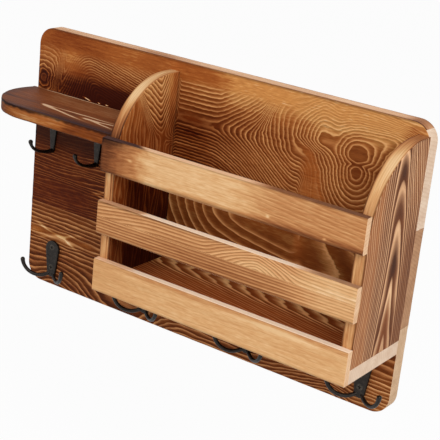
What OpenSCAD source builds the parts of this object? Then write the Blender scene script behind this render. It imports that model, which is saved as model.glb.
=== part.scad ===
// Wall organiser in torched pine: a back panel with a slatted letter box on the
// right, a small shelf on the left, four double hooks along the bottom edge and
// two small hooks under the shelf. Millimetres.
// The origin is the middle of the face that lies on the wall. +X is to the right
// seen from the room, +Y goes into the wall and +Z is up.

/* [Back panel] */
// Width of the back panel
back_w = 400; // [360:1:480]
// Height of the back panel
back_h = 247; // [232:1:300]
// Thickness of the back panel
back_t = 14; // [12:0.5:20]
// Radius of the panel's four corners
corner_r = 16; // [4:1:28]
// Height of the lowest of the three boards that are glued into the panel
lower_board_h = 78.5; // [70:0.5:86]
// Height of the middle board
middle_board_h = 83.5; // [74:0.5:88]

/* [Letter box] */
// Width over both side panels, which ends at the back panel's right edge
box_w = 249; // [200:1:280]
// How far the side panels stand out from the back panel
box_depth = 78; // [60:1:110]
// Thickness of the side panels
side_t = 10.5; // [9:0.5:16]
// How far the tops of the side panels stay below the top of the back panel
side_drop = 9; // [2:1:30]
// Radius of the curve at the top front of a side panel
curve_r = 67; // [40:1:78]
// Thickness of the bottom board
floor_t = 12.3; // [10:0.1:18]
// Height of the bottom board's underside over the panel's lower edge
floor_rise = 56.8; // [52:0.1:70]

/* [Slats] */
// Height of a slat
slat_h = 29; // [20:0.5:34]
// Thickness of a slat
slat_t = 6.7; // [5:0.1:12]
// Part of the top slat's height that lies on the straight front edges
slat_grip = 8; // [6:1:20]
// How far the middle slat sits below the middle of its space
middle_slat_drop = 1.3; // [0:0.1:4]

/* [Shelf] */
// Thickness of the shelf
shelf_t = 11.5; // [9:0.5:18]
// How far the shelf stands out from the back panel
shelf_depth = 66; // [55:1:78]
// How far the shelf's end stands out past the panel's left edge
shelf_overhang = 7.8; // [0:0.1:20]
// Radius of the shelf's outer front corner
shelf_corner_r = 45; // [30:1:54]
// Radius of the shelf's end, where it curves back to the panel
shelf_end_r = 56; // [50:1:90]
// How far the shelf's top lies below the top of the top slat
shelf_step = 2.7; // [0:0.1:8]

/* [Double hooks] */
// From the panel's left edge to the first of the four hooks
hook_margin_left = 31.3; // [28:0.1:45]
// From the last hook to the panel's right edge
hook_margin_right = 26.7; // [26:0.1:45]
// Height of a hook plate's top over the panel's lower edge
hook_top = 45.2; // [44:0.1:50]
// Height of a hook plate
hook_plate_h = 36.7; // [32:0.1:38]
// Width of a hook plate's broad upper end
hook_plate_w = 16; // [13:0.5:20]
// Width of a hook plate's narrow lower end
hook_neck_w = 10; // [8:0.5:12]
// Thickness of a hook plate
hook_plate_t = 2.6; // [2:0.1:3.4]
// Thickness of a hook's arms
hook_arm_d = 3.6; // [3:0.1:5]
// Diameter of the rounded tip of an arm
hook_tip_d = 4.4; // [3.6:0.1:6]
// Radius of an arm's bend
hook_bend_r = 16; // [14:0.5:20]
// How far along the arm its lowest point is from the plate
hook_bend_ahead = 9; // [6:0.5:12]
// Angle between an arm and straight ahead, seen from above
hook_spread = 59; // [45:1:70]

/* [Small hooks] */
// From the panel's left edge to the first small hook
small_margin = 23.5; // [18:0.5:34]
// Distance between the two small hooks
small_pitch = 54; // [40:0.5:64]
// How far a small hook's top lies below the shelf
small_drop = 8; // [4:0.5:14]
// Height of a small hook's plate
small_plate_h = 38; // [34:0.5:44]
// Width of a small hook's plate at its upper end
small_plate_w = 10.5; // [9.5:0.5:14]
// Width of a small hook's plate at its lower end
small_neck_w = 4.8; // [4:0.1:7]
// Thickness of a small hook's plate
small_plate_t = 2; // [1.6:0.1:3]
// Thickness of a small hook's arm
small_arm_d = 2.8; // [2.2:0.1:4]
// Diameter of a small hook's rounded tip
small_tip_d = 4; // [3.2:0.1:6]
// How far a small hook's arm runs straight out before it bends up
small_reach = 11; // [6:0.5:20]
// Radius of a small hook's bend
small_bend_r = 22; // [12:0.5:24]

/* [Wall hangers] */
// Distance between the two keyhole plates
hanger_pitch = 300; // [240:1:330]
// Height of the entry holes below the panel's top edge
hanger_drop = 40; // [34:1:50]
// Diameter of the hole that the wall screw's head goes into
keyhole_d = 9; // [7:0.1:11]
// Width of the slot above it
keyhole_slot_w = 4.4; // [3:0.1:5.5]
// Rise from the entry hole to the top of the slot
keyhole_rise = 10; // [7:0.5:14]
// Thickness of a keyhole plate
hanger_t = 1.6; // [1.2:0.1:2.4]

/* [Edges and fits] */
// Radius of the eased edges on slats and shelf
ease_r = 1.4; // [0.5:0.1:2.4]
// Room around a screw in its hole, and around a plate in its recess
fit_gap = 0.1; // [0.05:0.01:0.25]

/* [Hidden] */
$fn = 64;

// How far a cutter runs past a face
past = 1;

// Edges of the whole
left = -back_w / 2;
right = back_w / 2;
bottom = -back_h / 2;
top = back_h / 2;
face_y = -back_t;

// Letter box
box_left = right - box_w;
box_front = face_y - box_depth;
floor_z = bottom + floor_rise;
floor_top = floor_z + floor_t;
side_top = top - side_drop;
side_r = min(curve_r, box_depth);
slat_overlap = slat_h - slat_grip;
front_top = side_top - side_r + slat_overlap;
slat_front = box_front - slat_t;
spare_front = front_top - floor_z - 3 * slat_h;
middle_slat_z = floor_z + slat_h + spare_front / 2 - middle_slat_drop;

// Shelf
shelf_top = front_top - shelf_step;
shelf_z = shelf_top - shelf_t;
shelf_left = left - shelf_overhang;
shelf_r = min(shelf_corner_r, shelf_depth - 1);
shelf_length = box_left - shelf_left;

// Double hooks
last_hook = 3;
hook_pitch = (back_w - hook_margin_left - hook_margin_right) / last_hook;
function hook_x(i) = left + hook_margin_left + i * hook_pitch;
hook_plate_z = bottom + hook_top - hook_plate_h;
hook_screw_inset = 6.5;
hook_upper_screw = hook_plate_h - hook_screw_inset;
hook_lower_screw = hook_neck_w;
// From the plate's middle line to where an arm starts
hook_arm_root_x = hook_neck_w * 0.35;
hook_bend_from = -asin(hook_bend_ahead / hook_bend_r);
hook_bend_to = 84;

// Small hooks
function small_x(i) = left + small_margin + i * small_pitch;
small_plate_z = shelf_z - small_drop - small_plate_h;
small_screw_inset = 5;
small_screw_pitch = 9.5;
small_upper_screw = small_plate_h - small_screw_inset;
small_lower_screw = small_upper_screw - small_screw_pitch;
small_bend_to = 68;

// Screws: [shank diameter, head diameter, head height, length]
hook_screw = [3, 6, 1.9, 13];
small_screw = [2.2, 4.4, 1.4, 11.5];
board_screw = [4, 8, 2.6, 36];
floor_screw = [3.5, 7, 2.3, 30];
hanger_screw = [2.4, 4.8, 1.6, 10.5];
// Room past a screw's point
screw_end = 0.4;
// Width, span and depth of the cross recess, as parts of the head's size
drive_w = 0.16;
drive_span = 0.56;
drive_depth = 0.5;
// Of the screws in a side panel, over the bottom board and under the panel's top
side_screw_rise = 25;
side_screw_drop = 40;
// Of the shelf's screws from its ends, and of the bottom board's from its long edges
shelf_screw_inset = 22;
floor_screw_inset = 18;

// Wall hangers
hanger_rim = 4;
hanger_w = keyhole_d + 2 * hanger_rim;
hanger_screw_gap = 6.5;
hanger_end = 5;
hanger_z = top - hanger_drop;
hanger_low = -keyhole_d / 2 - hanger_screw_gap - hanger_end;
hanger_high = keyhole_rise + keyhole_slot_w / 2 + hanger_screw_gap + hanger_end;
hanger_screw_zs = [hanger_low + hanger_end, hanger_high - hanger_end];
// Depth and side room behind a keyhole plate for a wall screw's head
head_room = 6;
head_side = 1.5;

torched = [0.45, 0.24, 0.12];
sanded = [0.80, 0.60, 0.38];
bare_end = [0.86, 0.72, 0.54];
iron = [0.20, 0.20, 0.21];
zinc = [0.70, 0.71, 0.72];

// General shapes

// A rectangle from the origin with all four corners rounded
module rounded_rect(w, h, r) {
    translate([r, 0]) square([w - 2 * r, h]);
    translate([0, r]) square([w, h - 2 * r]);
    for (x = [r, w - r], y = [r, h - r]) translate([x, y]) circle(r);
}

// Two circles on the Y axis with the straight lines that touch both
module tapered_outline(y_low, r_low, y_high, r_high) {
    tilt = asin((r_high - r_low) / (y_high - y_low));
    translate([0, y_low]) circle(r_low);
    translate([0, y_high]) circle(r_high);
    polygon([for (p = [[1, y_low, r_low], [1, y_high, r_high], [-1, y_high, r_high], [-1, y_low, r_low]])
             [p[0] * p[2] * cos(tilt), p[1] - p[2] * sin(tilt)]]);
}

// Stands an outline drawn in X and Z upright, thick towards the room from y = 0
module upright(t) {
    rotate([90, 0, 0]) linear_extrude(t) children();
}

// Extrudes a profile drawn in Y and Z along X from x = 0
module along_x(length) {
    rotate([90, 0, 90]) linear_extrude(length) children();
}

// Countersunk cross-head screw, its head's top at the origin and its point down
module screw(kind) {
    shank_r = kind[0] / 2;
    head_r = kind[1] / 2;
    slot = kind[1] * drive_w;
    span = kind[1] * drive_span;
    depth = kind[2] * drive_depth;
    difference() {
        union() {
            translate([0, 0, -kind[2]]) cylinder(h = kind[2], r1 = shank_r, r2 = head_r);
            translate([0, 0, -kind[3] + shank_r]) cylinder(h = kind[3] - shank_r - kind[2], r = shank_r);
            translate([0, 0, -kind[3]]) cylinder(h = shank_r, r1 = shank_r / 3, r2 = shank_r);
        }
        for (a = [0, 90]) rotate([0, 0, a])
            translate([-span / 2, -slot / 2, -depth]) cube([span, slot, depth + past]);
    }
}

// The room that a screw takes, with its clearance
module screw_room(kind) {
    shank_r = kind[0] / 2 + fit_gap;
    head_r = kind[1] / 2 + fit_gap;
    translate([0, 0, -kind[2]]) cylinder(h = kind[2], r1 = shank_r, r2 = head_r);
    translate([0, 0, -kind[3] - screw_end]) cylinder(h = kind[3] + screw_end, r = shank_r);
    cylinder(h = past, r = head_r);
}

// Turn a screw so that its point goes into the wall, or out into the room
module point_to_wall() { rotate([90, 0, 0]) children(); }
module point_to_room() { rotate([-90, 0, 0]) children(); }

// Where the screws are

module at_hook_screws() {
    for (i = [0 : last_hook], h = [hook_lower_screw, hook_upper_screw])
        translate([hook_x(i), face_y - hook_plate_t, hook_plate_z + h]) point_to_wall() children();
}

module at_small_screws() {
    for (i = [0, 1], h = [small_lower_screw, small_upper_screw])
        translate([small_x(i), face_y - small_plate_t, small_plate_z + h]) point_to_wall() children();
}

// Through the back panel into the side panels, the bottom board and the shelf
module at_back_screws() {
    inner_w = box_w - 2 * side_t;
    for (x = [box_left + side_t / 2, right - side_t / 2],
         z = [floor_top + side_screw_rise, side_top - side_screw_drop])
        translate([x, 0, z]) point_to_room() children();
    for (k = [1, 3])
        translate([box_left + side_t + inner_w * k / 4, 0, floor_z + floor_t / 2]) point_to_room() children();
    for (x = [left + shelf_screw_inset, box_left - shelf_screw_inset])
        translate([x, 0, shelf_z + shelf_t / 2]) point_to_room() children();
}

// Up through the bottom board into the side panels
module at_floor_screws() {
    for (x = [box_left + side_t / 2, right - side_t / 2],
         y = [face_y - floor_screw_inset, box_front + floor_screw_inset])
        translate([x, y, floor_z]) rotate([180, 0, 0]) children();
}

module at_hangers() {
    for (side = [-1, 1]) translate([side * hanger_pitch / 2, 0, hanger_z]) children();
}

module at_hanger_screws() {
    at_hangers() for (z = hanger_screw_zs) translate([0, 0, z]) point_to_room() children();
}

// Back panel

// A keyhole plate's outline, in X and Z about its entry hole
module hanger_outline(grow) {
    translate([-hanger_w / 2 - grow, hanger_low - grow])
        rounded_rect(hanger_w + 2 * grow, hanger_high - hanger_low + 2 * grow, hanger_end);
}

// The wood that is routed away for one keyhole plate and the wall screw's head
module hanger_pocket() {
    head_r = keyhole_d / 2 + head_side;
    depth = hanger_t + head_room;
    translate([0, past, 0]) upright(hanger_t + past) hanger_outline(fit_gap);
    translate([0, past, 0]) upright(depth + past) {
        circle(head_r);
        translate([-head_r, 0]) square([2 * head_r, keyhole_rise]);
        translate([0, keyhole_rise]) circle(head_r);
    }
}

// One board of the panel, between two heights over the panel's lower edge
module back_board(from, to) {
    difference() {
        intersection() {
            translate([left, 0, bottom]) upright(back_t) rounded_rect(back_w, back_h, corner_r);
            translate([left - past, -back_t - past, bottom + from])
                cube([back_w + 2 * past, back_t + 2 * past, to - from]);
        }
        at_back_screws() screw_room(board_screw);
        at_hook_screws() screw_room(hook_screw);
        at_small_screws() screw_room(small_screw);
        at_hanger_screws() screw_room(hanger_screw);
        at_hangers() hanger_pocket();
    }
}

module back_board_bottom() { color(torched) back_board(0, lower_board_h); }
module back_board_middle() { color(torched) back_board(lower_board_h, lower_board_h + middle_board_h); }
module back_board_top() { color(torched) back_board(lower_board_h + middle_board_h, back_h); }

// Letter box

// Side panel seen from its end: depth along the first axis, height along the second
module side_profile() {
    height = side_top - floor_top;
    translate([face_y - box_depth, floor_top]) {
        square([box_depth, height - side_r]);
        translate([side_r, 0]) square([box_depth - side_r, height]);
        intersection() {
            translate([side_r, height - side_r]) circle(side_r, $fn = 128);
            translate([0, height - side_r]) square(side_r);
        }
    }
}

module side_panel(x) {
    difference() {
        translate([x, 0, 0]) along_x(side_t) side_profile();
        at_back_screws() screw_room(board_screw);
        at_floor_screws() screw_room(floor_screw);
    }
}

module left_side_panel() { color(torched) side_panel(box_left); }
module right_side_panel() { color(torched) side_panel(right - side_t); }

module bottom_board() {
    color(bare_end) difference() {
        translate([box_left, box_front, floor_z]) cube([box_w, box_depth, floor_t]);
        at_back_screws() screw_room(board_screw);
        at_floor_screws() screw_room(floor_screw);
    }
}

// A slat with its long front edges eased; its back lies on the side panels
module slat(z) {
    translate([box_left, slat_front, z]) along_x(box_w) {
        translate([ease_r, 0]) square([slat_t - ease_r, slat_h]);
        translate([0, ease_r]) square([slat_t, slat_h - 2 * ease_r]);
        for (h = [ease_r, slat_h - ease_r]) translate([ease_r, h]) circle(ease_r);
    }
}

module bottom_slat() { color(sanded) slat(floor_z); }
module middle_slat() { color(sanded) slat(middle_slat_z); }
module top_slat() { color(sanded) slat(front_top - slat_h); }

// Shelf

// Section through the shelf from its core out to its eased edge
module shelf_section(reach) {
    square([reach - ease_r, shelf_t]);
    translate([0, ease_r]) square([reach, shelf_t - 2 * ease_r]);
    for (h = [ease_r, shelf_t - ease_r]) translate([reach - ease_r, h]) circle(ease_r);
}

module shelf_board() {
    color(torched) difference() {
        translate([shelf_left, face_y - shelf_depth, shelf_z]) intersection() {
            union() {
                // The straight front
                translate([shelf_r, shelf_depth, 0]) mirror([0, 1, 0])
                    along_x(shelf_length - shelf_r) shelf_section(shelf_depth);
                // The front corner, then the end's curve back to the panel
                translate([shelf_r, shelf_r, 0])
                    rotate([0, 0, 180]) rotate_extrude(angle = 90, $fn = 192) shelf_section(shelf_r);
                translate([shelf_end_r, shelf_r, 0])
                    rotate([0, 0, 90]) rotate_extrude(angle = 90, $fn = 192) shelf_section(shelf_end_r);
            }
            cube([shelf_length, shelf_depth, shelf_t]);
        }
        at_back_screws() screw_room(board_screw);
    }
}

// Hooks

// An arm of round bar that bends up from its lowest point, which lies at the
// given distance ahead and height; both ends are rounded. The angles are
// counted from the lowest point.
module hook_arm(bend_r, ahead, rise, from_angle, to_angle, arm_d, tip_d) {
    translate([0, -ahead, rise + bend_r]) rotate([0, 90, 180]) rotate([0, 0, from_angle]) {
        rotate_extrude(angle = to_angle - from_angle, $fn = 96)
            translate([bend_r, 0]) circle(d = arm_d, $fn = 24);
        translate([bend_r, 0, 0]) sphere(d = arm_d, $fn = 24);
        rotate([0, 0, to_angle - from_angle]) translate([bend_r, 0, 0]) sphere(d = tip_d, $fn = 24);
    }
}

module double_hook(i) {
    neck_r = hook_neck_w / 2;
    head_r = hook_plate_w / 2;
    color(iron) difference() {
        translate([hook_x(i), face_y, hook_plate_z]) {
            upright(hook_plate_t) tapered_outline(neck_r, neck_r, hook_plate_h - head_r, head_r);
            for (side = [-1, 1])
                translate([side * hook_arm_root_x, -hook_plate_t, 0]) rotate([0, 0, side * hook_spread])
                    hook_arm(hook_bend_r, hook_bend_ahead, 0, hook_bend_from, hook_bend_to,
                             hook_arm_d, hook_tip_d);
        }
        at_hook_screws() screw_room(hook_screw);
    }
}

module double_hook_1() { double_hook(0); }
module double_hook_2() { double_hook(1); }
module double_hook_3() { double_hook(2); }
module double_hook_4() { double_hook(3); }

module small_hook(i) {
    neck_r = small_neck_w / 2;
    head_r = small_plate_w / 2;
    arm_r = small_arm_d / 2;
    color(iron) difference() {
        translate([small_x(i), face_y, small_plate_z]) {
            upright(small_plate_t) tapered_outline(neck_r, neck_r, small_plate_h - head_r, head_r);
            translate([0, 0, arm_r]) rotate([90, 0, 0]) cylinder(h = small_reach, d = small_arm_d, $fn = 24);
            hook_arm(small_bend_r, small_reach, arm_r, 0, small_bend_to, small_arm_d, small_tip_d);
        }
        at_small_screws() screw_room(small_screw);
    }
}

module small_hook_1() { small_hook(0); }
module small_hook_2() { small_hook(1); }

// Fasteners

module double_hook_screws() { color(iron) at_hook_screws() screw(hook_screw); }
module small_hook_screws() { color(iron) at_small_screws() screw(small_screw); }
module back_screws() { color(zinc) at_back_screws() screw(board_screw); }
module floor_screws() { color(zinc) at_floor_screws() screw(floor_screw); }
module hanger_screws() { color(zinc) at_hanger_screws() screw(hanger_screw); }

// A keyhole plate let in flush with the face that lies on the wall
module hanger_plate(side) {
    slot_r = keyhole_slot_w / 2;
    color(zinc) difference() {
        translate([side * hanger_pitch / 2, 0, hanger_z]) upright(hanger_t) difference() {
            hanger_outline(0);
            circle(d = keyhole_d);
            translate([-slot_r, 0]) square([keyhole_slot_w, keyhole_rise]);
            translate([0, keyhole_rise]) circle(slot_r);
        }
        at_hanger_screws() screw_room(hanger_screw);
    }
}

module hanger_plate_left() { hanger_plate(-1); }
module hanger_plate_right() { hanger_plate(1); }

back_board_top();
back_board_middle();
back_board_bottom();
left_side_panel();
right_side_panel();
bottom_board();
top_slat();
middle_slat();
bottom_slat();
shelf_board();
double_hook_1();
double_hook_2();
double_hook_3();
double_hook_4();
double_hook_screws();
small_hook_1();
small_hook_2();
small_hook_screws();
back_screws();
floor_screws();
hanger_plate_left();
hanger_plate_right();
hanger_screws();
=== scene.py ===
"""Wall organiser in torched pine: slatted letter box, small shelf and iron hooks.

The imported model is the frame. The boards and hooks are rebuilt here over their
CAD nodes, with eased and slightly worn edges, and every surface gets a
procedural material. Lengths in this script are millimetres unless a name says
otherwise, and the meshes are written in metres.
"""
import math
from functools import partial

import bmesh
import bpy
from mathutils import Matrix, Vector, noise as lattice


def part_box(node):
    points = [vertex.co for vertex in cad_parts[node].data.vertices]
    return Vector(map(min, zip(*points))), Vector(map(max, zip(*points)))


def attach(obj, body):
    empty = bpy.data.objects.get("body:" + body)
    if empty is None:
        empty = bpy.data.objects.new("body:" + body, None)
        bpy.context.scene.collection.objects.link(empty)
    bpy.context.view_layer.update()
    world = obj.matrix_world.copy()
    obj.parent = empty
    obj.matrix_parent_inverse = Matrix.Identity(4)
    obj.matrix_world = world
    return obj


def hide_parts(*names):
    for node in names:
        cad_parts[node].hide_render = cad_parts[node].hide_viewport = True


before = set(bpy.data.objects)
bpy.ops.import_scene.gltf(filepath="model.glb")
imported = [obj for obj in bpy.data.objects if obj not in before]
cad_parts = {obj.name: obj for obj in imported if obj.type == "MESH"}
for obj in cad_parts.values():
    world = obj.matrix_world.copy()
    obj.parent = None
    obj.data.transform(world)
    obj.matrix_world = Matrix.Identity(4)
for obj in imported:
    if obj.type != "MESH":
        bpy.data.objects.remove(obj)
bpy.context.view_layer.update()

MM = 0.001

# ---------------------------------------------------------------- sizes

def node_box(name):
    """Lowest and highest corner of a CAD node, in millimetres."""
    lo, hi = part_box(name)
    return lo / MM, hi / MM


PANEL_LO = node_box("back_board_bottom")[0]
PANEL_HI = node_box("back_board_top")[1]
LOWER_SEAM = node_box("back_board_bottom")[1].z
UPPER_SEAM = node_box("back_board_middle")[1].z
# Radii of the boards' outlines
PANEL_CORNER = 16.0
SIDE_CURVE = 67.0
SHELF_CORNER = 45.0
SHELF_END = 56.0
SLAT_FRONT_CORNER = 1.4
SLAT_REAR_CORNER = 0.4
FLOOR_CORNERS = (0.5, 0.3, 0.3, 0.4)
JOINT_CORNER = 0.25
# Radii of the arrises round their faces
PANEL_EASE = 0.7
SIDE_EASE = 0.9
SHELF_EASE = 1.4
SLAT_EASE = 0.4
FLOOR_EASE = 0.35
JOINT_EASE = 0.2
PLATE_EASE = 0.1
LEAST_EASE = 0.08
# How much the width of a board's worn arris changes along it, as a share
WANDER = 0.48
# Room round a screw or a hanger plate, and beyond a screw's tip
CLEARANCE = 0.1
SPARE_DEPTH = 0.4
# How far a cutter stands out of the wood
OVERSHOOT = 2.0
# Of a screw head's radius: the countersink's depth and the shank's radius
SINK_SHARE = 0.648
SHANK_SHARE = 0.5
HANGER_CORNER = 5.0
HANGER_RECESS = 7.6
KEYHOLE_Z = 83.5
KEYHOLE_RADIUS = 6.0
KEYHOLE_RISE = 10.0
# The hooks: radii of the plate's lower and upper end, its height and thickness, the
# arm's radius and that of its tip, and the angle up to which the arm bends. Two arms
# start this far apart from the middle, and a single one this far inside its plate.
DOUBLE = dict(neck=5.0, head=8.0, plate=36.7, thick=2.6, bevel=0.7, top=45.2, arm=1.8, swell=0.0, tip=2.2,
              tip_from=0.75, to=84.0, apart=3.5, spread=59.0, ahead=9.0, bend=16.0,
              screws="double_hook_screws", near=12.0, voxel=0.35, rounds=4)
SMALL = dict(neck=2.1, head=5.25, plate=38.0, thick=2.0, bevel=0.6, foot=8.3, arm=1.5, swell=0.7, tip=2.2,
             tip_from=0.8, to=86.0, sunk=1.0, reach=3.0, run=28.3, rise=14.6, screws="small_hook_screws",
             near=6.0, voxel=0.33, rounds=3)


# ---------------------------------------------------------------- meshes

def arc(centre, radius, start, stop, count):
    """Points on a circle between two angles in degrees."""
    angles = [math.radians(start + (stop - start) * k / count) for k in range(count + 1)]
    return [centre + Vector((radius * math.cos(t), radius * math.sin(t))) for t in angles]


def run_to(points, end, edge):
    """Adds a straight run to an outline, in even edges of at least the given length."""
    start = points[-1]
    cuts = max(1, int((end - start).length / edge))
    points.extend(start.lerp(end, k / cuts) for k in range(1, cuts + 1))


def rounded_box(a0, b0, a1, b1, radii, edge=3.5):
    """A rectangle's outline, counter-clockwise, with a radius for each corner. Its
    straight runs are cut into short edges, so that an arris can wander a little."""
    points = []
    for k, (a, b) in enumerate(((a0, b0), (a1, b0), (a1, b1), (a0, b1))):
        r = radii[k]
        centre = Vector((a + r if a == a0 else a - r, b + r if b == b0 else b - r))
        count = max(3, int(7.5 * max(1.0, min(r, 60) / 12)))
        corner = arc(centre, r, 180 + 90 * k, 270 + 90 * k, count)
        if points:
            run_to(points, corner.pop(0), edge)
        points += corner
    run_to(points, points[0], edge)
    return points[:-1]


def inward(points):
    """The way in at each point of a closed outline, long enough to move its edges by 1."""
    n = len(points)
    ways = []
    for i, p in enumerate(points):
        d1 = (p - points[i - 1]).normalized()
        d2 = (points[(i + 1) % n] - p).normalized()
        n1 = Vector((-d1.y, d1.x))
        n2 = Vector((-d2.y, d2.x))
        mid = n1 + n2
        ways.append(mid / max(0.4, mid.dot(n1)))
    return ways


def link(name, data):
    """A new object in the scene."""
    obj = bpy.data.objects.new(name, data)
    bpy.context.scene.collection.objects.link(obj)
    return obj


def mesh_object(name, bm):
    mesh = bpy.data.meshes.new(name)
    bm.to_mesh(mesh)
    bm.free()
    return link(name, mesh)


def delete(obj):
    mesh = obj.data
    bpy.data.objects.remove(obj)
    bpy.data.meshes.remove(mesh)


def closed_skin(name, rings):
    """A solid over rings of points that follow each other, with a flat face on both ends."""
    bm = bmesh.new()
    made = [[bm.verts.new(point * MM) for point in ring] for ring in rings]
    n = len(made[0])
    for one, two in zip(made, made[1:]):
        for i in range(n):
            j = (i + 1) % n
            bm.faces.new((one[i], one[j], two[j], two[i]))
    bm.faces.new(list(reversed(made[0])))
    bm.faces.new(made[-1])
    bmesh.ops.recalc_face_normals(bm, faces=bm.faces)
    return mesh_object(name, bm)


def slab(name, outline, low, high, place, ease_low, ease_high, wander=0.0, seed=0):
    """A board: an outline drawn in two axes, thick from low to high along the third,
    with an eased arris all round both faces. place(a, b, w) gives the point in the
    frame, and the eases are numbers or functions of the outline point."""
    ways = inward(outline)
    steps = 4
    turns = [math.pi / 2 * k / steps for k in range(steps + 1)]
    rings = []
    for level, sign, ease, shift in ((low, 1, ease_low, 0.0), (high, -1, ease_high, 31.0)):
        widths = []
        for p in outline:
            e = ease(p) if callable(ease) else ease
            sway = lattice.noise(Vector((p.x * 0.11 + shift, p.y * 0.11, seed * 7.3)))
            widths.append(max(LEAST_EASE, e * (1 + wander * sway)))
        for t in turns[::sign]:
            aside = 1 - math.sin(t)
            above = sign * (1 - math.cos(t))
            rings.append([Vector(place(*(p + way * e * aside), level + e * above))
                          for p, way, e in zip(outline, ways, widths)])
    return closed_skin(name, rings)


def along_x(a, b, w):
    return (w, a, b)


def along_y(a, b, w):
    return (a, w, b)


def along_z(a, b, w):
    return (a, b, w)


def bake_modifiers(obj):
    """Applies the object's modifiers to its mesh."""
    graph = bpy.context.evaluated_depsgraph_get()
    graph.update()
    mesh = bpy.data.meshes.new_from_object(obj.evaluated_get(graph))
    old = obj.data
    obj.modifiers.clear()
    obj.data = mesh
    bpy.data.meshes.remove(old)
    mesh.name = obj.name


def smooth(obj, angle=40.0):
    """Smooth shading that follows the large faces."""
    for face in obj.data.polygons:
        face.use_smooth = True
    obj.data.set_sharp_from_angle(angle=math.radians(angle))
    even = obj.modifiers.new("even", "WEIGHTED_NORMAL")
    even.keep_sharp = True
    even.weight = 100


def cut(obj, cutters):
    """Takes the cutters' solids out of the object and deletes them."""
    for cutter in cutters:
        tool = obj.modifiers.new("cut", "BOOLEAN")
        tool.operation = "DIFFERENCE"
        tool.solver = "MANIFOLD"
        tool.object = cutter
        bake_modifiers(obj)
        delete(cutter)


def revolve(name, profile, centre, axis, sides=32):
    """A closed solid of revolution from (radius, height) points along an axis, given
    from one end of the axis to the other."""
    turn = Vector((0, 0, 1)).rotation_difference(axis).to_matrix()
    angles = [2 * math.pi * k / sides for k in range(sides)]
    return closed_skin(name, [[centre + turn @ Vector((r * math.cos(t), r * math.sin(t), h)) for t in angles]
                              for r, h in profile])


def loose_boxes(name):
    """The box of each separate solid in a CAD node, in millimetres."""
    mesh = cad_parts[name].data
    group = list(range(len(mesh.vertices)))
    first_at = {}
    for v in mesh.vertices:
        group[v.index] = first_at.setdefault(tuple(round(c, 6) for c in v.co), v.index)

    def head(i):
        while group[i] != i:
            group[i] = group[group[i]]
            i = group[i]
        return i

    for edge in mesh.edges:
        a, b = (head(i) for i in edge.vertices)
        if a != b:
            group[b] = a
    found = {}
    for v in mesh.vertices:
        i = head(v.index)
        lo, hi = found.get(i, (v.co, v.co))
        found[i] = (Vector(map(min, lo, v.co)), Vector(map(max, hi, v.co)))
    boxes = [(lo / MM, hi / MM) for lo, hi in found.values()]
    return sorted(boxes, key=lambda b: (round(b[0].x, 2), round(b[0].z, 2), round(b[0].y, 2)))


# ---------------------------------------------------------------- shader words

class Term:
    """A number or a shader output, with arithmetic that adds Math nodes."""
    tree = None

    def __init__(self, out):
        self.out = out

    def __add__(self, other):
        return step("ADD", self, other)

    __radd__ = __add__

    def __sub__(self, other):
        return step("SUBTRACT", self, other)

    def __rsub__(self, other):
        return step("SUBTRACT", other, self)

    def __mul__(self, other):
        return step("MULTIPLY", self, other)

    __rmul__ = __mul__

    def __truediv__(self, other):
        return step("DIVIDE", self, other)

    def __neg__(self):
        return step("MULTIPLY", self, -1.0)


def add_node(kind, **settings):
    node = Term.tree.nodes.new("ShaderNode" + kind)
    for name, value in settings.items():
        setattr(node, name, value)
    return node


def plug(value, socket):
    """Sets a shader input to a number, or links it to a shader output."""
    if isinstance(value, Term):
        value = value.out
    if isinstance(value, bpy.types.NodeSocket):
        Term.tree.links.new(value, socket)
    else:
        socket.default_value = value


def step(kind, *terms, clamp=False):
    """One Math node."""
    node = add_node("Math", operation=kind, use_clamp=clamp)
    for term, socket in zip(terms, node.inputs):
        plug(term, socket)
    return Term(node.outputs[0])


least = partial(step, "MINIMUM")
fract = partial(step, "FRACT")
root = partial(step, "SQRT")


def clip(a):
    return step("ADD", a, 0.0, clamp=True)


def between(a, b, t):
    """a where t is 0, b where it is 1 and a mix in between."""
    return a + (b - a) * t


def fade(t, lo, hi):
    """0 below lo, 1 above hi and a soft step between."""
    node = add_node("MapRange", interpolation_type="SMOOTHSTEP")
    plug(t, node.inputs["Value"])
    if hi < lo:
        lo, hi = hi, lo
        node.inputs["To Min"].default_value = 1.0
        node.inputs["To Max"].default_value = 0.0
    node.inputs["From Min"].default_value = lo
    node.inputs["From Max"].default_value = hi
    return Term(node.outputs["Result"])


def slope(t, width):
    """0 for low t and t for high t, with a rounded bend."""
    return (root(t * t + width * width) + t) * 0.5


class Spot:
    """A place on a surface: a runs along it and b up it, in millimetres."""

    def __init__(self, a, b):
        node = add_node("CombineXYZ")
        plug(a, node.inputs[0])
        plug(b, node.inputs[1])
        self.a = a
        self.b = b
        self.out = node.outputs[0]


def moved(q, a0, b0, sa, sb, turn=0.0):
    """The place seen from (a0, b0), turned and scaled."""
    node = add_node("Mapping", vector_type="TEXTURE")
    plug(q.out, node.inputs["Vector"])
    node.inputs["Location"].default_value = (a0, b0, 0.0)
    node.inputs["Rotation"].default_value = (0.0, 0.0, math.radians(turn))
    node.inputs["Scale"].default_value = (sa, sb, 1.0)
    return node.outputs[0]


def bump(q, a0, b0, sa, sb, turn=0.0):
    """A smooth hill of height 1."""
    node = add_node("VectorMath", operation="DOT_PRODUCT")
    out = moved(q, a0, b0, sa, sb, turn)
    plug(out, node.inputs[0])
    plug(out, node.inputs[1])
    return step("POWER", math.exp(-1.0), node.outputs["Value"])


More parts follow.
